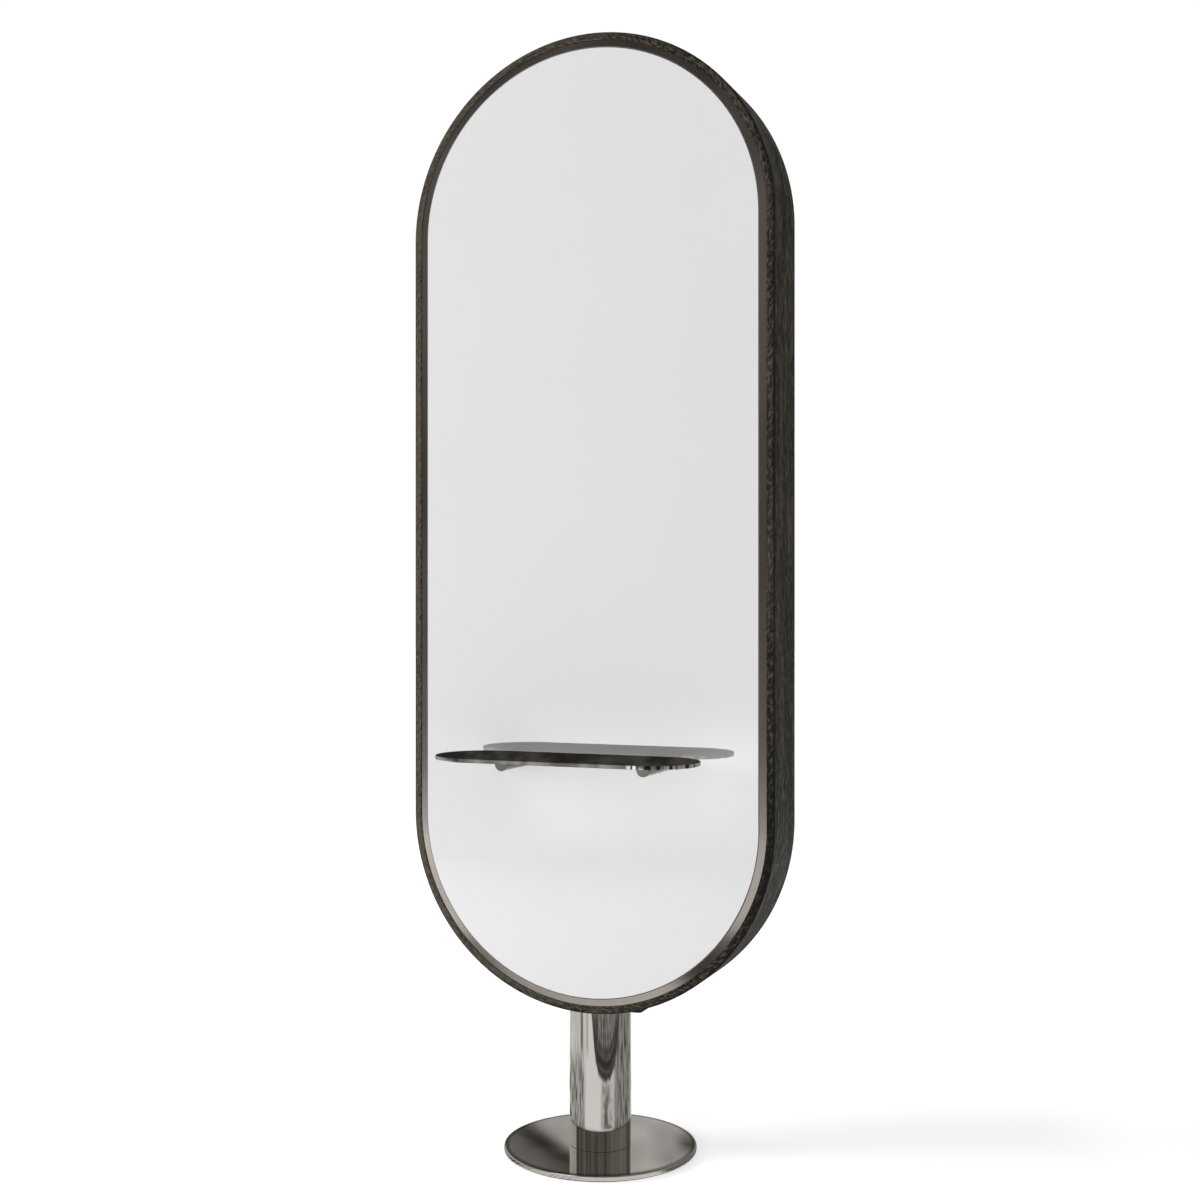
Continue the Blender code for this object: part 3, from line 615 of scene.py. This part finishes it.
# Shelf
# A 7 mm steel plate with half-round ends and a softened edge, nickel-plated dark and polished; its
# reflections are painted into its colour. One zinc-plated screw up through each pin holds it, just off the
# mirror.
shelf_low, shelf_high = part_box("shelf_plate")
shelf_radius = (shelf_high.y - shelf_low.y) / 2
shelf_middle = (shelf_high.y + shelf_low.y) / 2
shelf_end = shelf_high.x - shelf_radius
shelf_edge = 0.0008
shelf_arc_steps = 48


def shelf_finish():
    """Dark nickel, painted reflections: nearly black satin top, faint bands front to back, a little askew.

    The rim is painted brighter, with broken pale glints near its right end and a painted highlight at its
    left end.
    """
    material, place, shader = new_finish("shelf_nickel_painted_reflections", Specular_IOR_Level=0.0)
    on_top = place.axis(2).ramp(shelf_high.z - top_skin_low, shelf_high.z - top_skin_high)
    x, y = place.axis(0), place.axis(1)
    askew = radians(22)
    run = {"X": (x * cos(askew) + y * sin(askew)) * 20, "Y": (y * cos(askew) - x * sin(askew)) * 3}
    # Painted reflection: the top is painted nearly black with paler bands, and the rim below is painted
    # brighter.
    bands = place.node("ShaderNodeCombineXYZ", {}, run).noise(1, 3).ramp(0.36, 0.66)
    bands = bands * (1.0 - near(x, 0.030, 0.055) * 0.8)
    lines = place.stretched(9, 1800, 1800).noise(1, 2)
    top = bands.colours((0.014, 0.012, 0.0095), (0.070, 0.064, 0.054))
    rim = (bands * 0.5 + lines * 0.5).ramp(0.15, 0.75).colours((0.085, 0.079, 0.071), (0.25, 0.238, 0.218))
    # Painted glints: broken pale marks on the rim near its right end.
    marks = place.stretched(150, 20, 1).noise(1, 2).ramp(0.42, 0.56)
    marks = marks.colours((0.05, 0.047, 0.042), (0.72, 0.69, 0.64))
    rim = x.ramp(0.135, 0.160).colours(rim, marks)
    # Painted highlight: the rim's left end is painted pale.
    rim = x.ramp(-0.195, -0.165, 1.0, 0.0).colours(rim, (0.80, 0.77, 0.72))
    on_top.colours(rim, top).into(shader, "Base Color")
    (1.0 - on_top * 0.92).into(shader, "Metallic")
    (lines.ramp(0.3, 0.7, 0.06, 0.11) + on_top * 0.22).into(shader, "Roughness")
    lines.into_bump(shader, 0.000002, 0.25)
    return material


new_piece(
    "shelf", plate_shape([(shelf_end, shelf_middle, shelf_low.z), (-shelf_end, shelf_middle, shelf_low.z)],
                         shelf_radius, (0, -1, 0), (0, 0, 1), (0, 0, shelf_high.z - shelf_low.z),
                         shelf_edge, shelf_arc_steps),
    shelf_finish(), "polished_steel", "shelf_plate")
dress(zinc, "shelf_screw_left", "shelf_screw_right")


# Back panel
# A thin board, veneered and stained like the hoop, let in behind it and fixed with six screws into beech
# blocks that are glued inside the hoop.
dress(beech_finish("glued_beech", "upright"), *numbered("panel_block", 6))
dress(oak_finish("stained_oak_panel", bent=False), "back_panel")
dress(zinc, *numbered("panel_screw", 6))


# Camera
# It looks level at the mirror from its right, at the height of a seated person's eyes.
camera_bearing = radians(21.80)
camera_distance = 2.9958
camera_height = 1.0095
lens = bpy.data.cameras.new("photo_camera")
lens.sensor_width = 36
lens.lens = 48.60
lens.shift_x = -0.00039
lens.shift_y = 0.00246
camera = bpy.data.objects.new("photo_camera", lens)
camera.location = (camera_distance * sin(camera_bearing), -camera_distance * cos(camera_bearing),
                   camera_height)
camera.rotation_euler = (pi / 2, 0, camera_bearing)
bpy.context.scene.collection.objects.link(camera)
bpy.context.scene.camera = camera
bpy.context.scene.view_settings.view_transform = "Standard"


# Studio floor and light
# A wide pale floor and a plain white surround, one large soft lamp from the left and a weak one from the
# right.
def studio_piece(name, bm, material):
    mesh = bpy.data.meshes.new(name)
    bm.to_mesh(mesh)
    bm.free()
    mesh.materials.append(material)
    piece = bpy.data.objects.new(name, mesh)
    bpy.context.scene.collection.objects.link(piece)
    return piece


def seen_rays(tree):
    """Which rays see the set: the camera's own, and those that leave polished metal or pass a clear thing."""
    rays = tree.nodes.new("ShaderNodeLightPath")
    camera_ray, glossy_ray, clear_ray = (
        Wire(tree, rays.outputs["Is %s Ray" % kind]) for kind in ("Camera", "Glossy", "Transmission"))
    return camera_ray, (glossy_ray + clear_ray).sum("MINIMUM", glossy_ray + clear_ray, 1.0)


def floor_finish():
    """A pale floor, lifted to white for the camera and for polished metal, that keeps a soft shadow.

    A band of faint shade lies on it to the right of the base.
    """
    material, place, shader = new_finish("pale_floor", Roughness=0.9, Specular_IOR_Level=0.0)
    place.noise(0.5, 2).colours((0.69, 0.69, 0.69), (0.71, 0.71, 0.71)).into(shader, "Base Color")
    camera_ray, mirrored_ray = seen_rays(material.node_tree)
    x, y = place.axis(0), place.axis(1)
    reach = (x * x + y * y) ** 0.5
    aside = x * cos(camera_bearing) + y * sin(camera_bearing)
    beyond = y * cos(camera_bearing) - x * sin(camera_bearing)
    shade_band = near(beyond, 0.10, 0.26) * aside.ramp(0.05, 0.15) * aside.ramp(0.80, 1.05, 1.0, 0.0)
    shader.inputs["Emission Color"].default_value = (1, 1, 1, 1)
    white = reach.ramp(1.2, 4.0, 0.58, 0.74) - shade_band * 0.09
    lift = camera_ray * white + mirrored_ray * x.ramp(-1.7, -0.7, 0.34, 0.47)
    lift.into(shader, "Emission Strength")
    return material


floor_half = 30
bm = bmesh.new()
bmesh.ops.create_grid(bm, x_segments=1, y_segments=1, size=floor_half)
studio_piece("studio_floor", bm, floor_finish())

world = bpy.data.worlds.new("studio_surround")
bpy.context.scene.world = world
world.use_nodes = True
camera_ray, mirrored_ray = seen_rays(world.node_tree)
surround = world.node_tree.nodes["Background"]
surround.inputs["Color"].default_value = (1, 1, 1, 1)
soft_level = 0.56
((camera_ray + mirrored_ray) * (1.0 - soft_level) + soft_level).into(surround, "Strength")


def soft_lamp(name, place, target, size, power):
    lamp = bpy.data.lights.new(name, "AREA")
    lamp.shape = "DISK"
    lamp.size = size
    lamp.energy = power
    holder = bpy.data.objects.new(name, lamp)
    holder.location = place
    holder.rotation_mode = "QUATERNION"
    holder.rotation_quaternion = (Vector(target) - Vector(place)).to_track_quat("-Z", "Y")
    bpy.context.scene.collection.objects.link(holder)
    holder.visible_glossy = False


soft_lamp("left_lamp", (-4.1, -1.8, 1.9), (0, 0, 1.0), 2.2, 160)
soft_lamp("right_lamp", (3.5, -2.5, 1.6), (0, 0, 1.0), 2.4, 12)


# Hung cloth
# A round curtain about the set, out of the picture, that only polished surfaces mirror: dark, a middling
# tone behind, lighter at the right side, with a pale foot. Where the mirror looks it has a pale length,
# brighter low down, which shows in a first reflection alone.
set_steps = 96
curtain_radius = 3.4
curtain_low = 0.02
curtain_high = 6.5
mirror_line = radians(-22.5)


def only_mirrored(piece):
    piece.visible_camera = False
    piece.visible_diffuse = False
    piece.visible_shadow = False
    piece.visible_transmission = False


def glow_finish(name):
    """A surface that is seen at exactly the level fed to its emission."""
    return new_finish(name, Base_Color=(0, 0, 0, 1), Specular_IOR_Level=0.0, Emission_Strength=1.0)


def warm_grey(level):
    """A grey that is white at 1 and slightly warm where it is dark."""
    held = level.sum("MINIMUM", level, 1.0)
    channels = {"Red": level, "Green": level * held ** 0.025, "Blue": level * held ** 0.05}
    return level.node("ShaderNodeCombineColor", {}, channels)


def curtain_finish():
    material, place, shader = glow_finish("hung_cloth")
    x, y, z = place.axis(0), place.axis(1), place.axis(2)

    def facing(bearing):
        return (x * sin(bearing) - y * cos(bearing)) / curtain_radius

    bounces = place.node("ShaderNodeLightPath", {}, {}, "Glossy Depth")
    pale_length = facing(mirror_line).ramp(cos(radians(16)), cos(radians(12))) * z.ramp(3.3, 4.2, 1.0, 0.0)
    pale_length = pale_length * bounces.ramp(1.2, 1.8, 1.0, 0.0)
    folds = place.stretched(2.2, 2.2, 0.9).noise(1, 3)
    dark = folds.ramp(0.3, 0.7, 0.08, 0.25) * z.ramp(2.8, 4.0, 1.0, 0.65)
    dark = dark + facing(radians(95)).ramp(cos(radians(55)), cos(radians(15))) * 0.10
    sideways = x * cos(camera_bearing) + y * sin(camera_bearing)
    slant = radians(39)
    across = (z - 1.069) * cos(slant) - (sideways + 0.313) * sin(slant)
    left_half = sideways.ramp(-0.10, 0.0, 1.0, 0.0)
    slanting_fold = across.ramp(-0.060, -0.012) * across.ramp(0.015, 0.090, 1.0, 0.0) * left_half * 0.94
    under_fold = across.ramp(-0.02, 0.03) * left_half * folds.ramp(0.40, 0.60, 0.60, 0.80)
    small_fold = near(sideways, 0.360, 0.095) * near(z, 1.14, 0.085)
    soft_fold = near(sideways, 0.275, 0.11) * near(z, 1.21, 0.08) * 0.45
    shade = slanting_fold.sum("MAXIMUM", slanting_fold, under_fold)
    for part in (small_fold, soft_fold):
        shade = shade.sum("MAXIMUM", shade, part)
    behind = place.stretched(6, 6, 9).noise(1, 3).ramp(0.3, 0.7, 0.40, 0.65) * (1 - shade)
    behind = behind * z.ramp(0.25, 0.9, 0.25, 1.0) * sideways.ramp(-0.20, 0.20, 0.82, 1.08)
    back_length = facing(camera_bearing + pi).ramp(cos(radians(40)), cos(radians(22)))
    level = dark + (behind - dark) * back_length
    left_length = facing(radians(-112)).ramp(cos(radians(36)), cos(radians(28))) * near(z, 1.05, 0.85)
    level = level + (0.75 - level) * left_length
    rightwards = (x * cos(radians(8)) + y * sin(radians(8))).ramp(-0.5, 0.3)
    foot = z.ramp(0.16, 0.50, 1.0, 0.0)
    foot = foot + (z.ramp(0.02, 0.22, 0.90, 0.0) + z.ramp(0.20, 0.80, 0.10, 0.0) - foot) * rightwards
    foot = foot * (1 - back_length)
    level = level + (1 - level) * foot
    # Painted light: a brighter patch where the mirror shows the curtain below the shelf, filling the shelf's
    # shadow on the glass.
    shadow_filling_glow = near(z, 0.33, 0.38) * facing(radians(-18)).ramp(cos(radians(10)), cos(radians(4.5)), 0.0, 0.27)
    pale = 1.0 + z.ramp(0.0, 0.65, 0.06, 0.0) + shadow_filling_glow
    warm_grey(level + (pale - level) * pale_length).into(shader, "Emission Color")
    return material


bm = bmesh.new()
feet = [bm.verts.new((curtain_radius, 0, height)) for height in (curtain_low, curtain_high)]
top = bm.verts.new((0, 0, curtain_high))
edges = [bm.edges.new(feet), bm.edges.new((feet[1], top))]
bmesh.ops.spin(bm, geom=feet + [top] + edges, cent=(0, 0, 0), axis=(0, 0, 1), angle=2 * pi, steps=set_steps,
               use_merge=True)
only_mirrored(studio_piece("curtain", bm, curtain_finish()))


# Floor mat
# A round mat under the set, pale with dark figure, that only polished surfaces mirror. Its figure is laid out
# as the column shows it, across it and up it, and fades for what mirrors it from more than about a metre.
mat_radius = 1.20
mat_height = 0.0006
figure_full_reach = 1.09
figure_gone_reach = 1.20


def mat_finish():
    material, place, shader = glow_finish("figured_mat")
    x, y = place.axis(0), place.axis(1)
    reach = (x * x + y * y) ** 0.5

    def half_turn(right, front):
        """Half the angle between a direction and the camera's."""
        return (right.sum("ARCTAN2", right, front) - camera_bearing) * 0.5

    rough = half_turn(x, y * -1)
    normal = rough + camera_bearing
    right = x - normal.sum("SINE", normal) * column_high.x
    front = y * -1 - normal.sum("COSINE", normal) * column_high.x
    gap = (right * right + front * front) ** 0.5
    turn = half_turn(right, front)
    across = turn.sum("SINE", turn)
    up = gap * camera_height / (gap + camera_distance - column_high.x)

    def streaks(wide, tall, detail=3):
        sockets = {"X": across * wide, "Y": up * tall, "Z": across * up * 20}
        return place.node("ShaderNodeCombineXYZ", {}, sockets).noise(1, detail)

    fine = streaks(26, 16)
    broad = streaks(9, 9)
    aside = (across - 0.165) / 0.430
    aside = aside.sum("ABSOLUTE", aside)
    cup = aside * aside * aside - (up - 0.1405) / 0.103 + (broad - 0.5) * 0.26 + (fine - 0.5) * 0.14
    inner_lines = (cup * 26).sum("SINE", cup * 26).ramp(0.0, 1.0) * 0.10
    inner_lines = inner_lines + (cup * 61).sum("SINE", cup * 61) * 0.03
    deep = cup.ramp(-0.95, -0.25, 1.0, 0.0)
    figure = cup.ramp(-0.05, 0.05, 1.0, 0.0) * (0.96 - inner_lines - deep * fine.ramp(0.36, 0.62) * 0.28)
    right_side = across.ramp(0.34, 0.52) * fine.ramp(0.34, 0.60, 0.90, 0.58)
    right_side = right_side * across.ramp(0.93, 0.99, 1.0, 0.3)
    left_side = across.ramp(-0.60, -0.44, 1.0, 0.0) * fine.ramp(0.36, 0.60, 0.95, 0.40)
    left_side = left_side * up.ramp(0.14, 0.21, 1.0, 0.36)
    upper = up.ramp(0.17, 0.21)
    lines = near(across, -0.60, 0.075) * upper * 0.86 + near(across, -0.43, 0.07) * upper * 0.42
    trail = across.ramp(-0.03, 0.07) * across.ramp(0.34, 0.46, 1.0, 0.0) * up.ramp(0.125, 0.150, 1.0, 0.0)
    trail = trail * (streaks(9, 44, 1).ramp(0.34, 0.62, 0.26, 0.56) + near(across, 0.185, 0.11) * 0.26)
    off_bead = ((across - 0.27) / 0.13) ** 2 + ((up - 0.053) / 0.011) ** 2
    bead = off_bead.ramp(0.0, 2.2, 0.80, 0.0)
    shade = figure
    for part in (right_side, left_side, lines, trail, bead):
        shade = shade.sum("MAXIMUM", shade, part)
    along_rim = (rough * 2).sum("SINE", rough * 2)
    rim_shade = along_rim.ramp(0.58, 0.74) * 0.80 + along_rim.ramp(-0.93, -0.68, 0.60, 0.0)
    rim_marks = place.node("ShaderNodeCombineXYZ", {}, {"X": along_rim * 44}).noise(1, 2)
    rim_shade = rim_shade + along_rim.ramp(-0.35, -0.1, 1.0, 0.0) * rim_marks.ramp(0.46, 0.60) * 0.42
    near_rim = reach.ramp(0.21, 0.23, 1.0, 0.0)
    level = 1.0 - (shade + (rim_shade + (1.0 - rim_shade) * 0.12 - shade) * near_rim)
    ray_length = place.node("ShaderNodeLightPath", {}, {}, "Ray Length")
    level = level + (1.0 - level) * ray_length.ramp(figure_full_reach, figure_gone_reach)
    level = level + (1.0 - level) * reach.ramp(1.10, mat_radius)
    warm_grey(level).into(shader, "Emission Color")
    return material


bm = bmesh.new()
bmesh.ops.create_circle(bm, cap_ends=True, segments=set_steps, radius=mat_radius)
bmesh.ops.translate(bm, verts=bm.verts, vec=(0, 0, mat_height))
only_mirrored(studio_piece("mat", bm, mat_finish()))
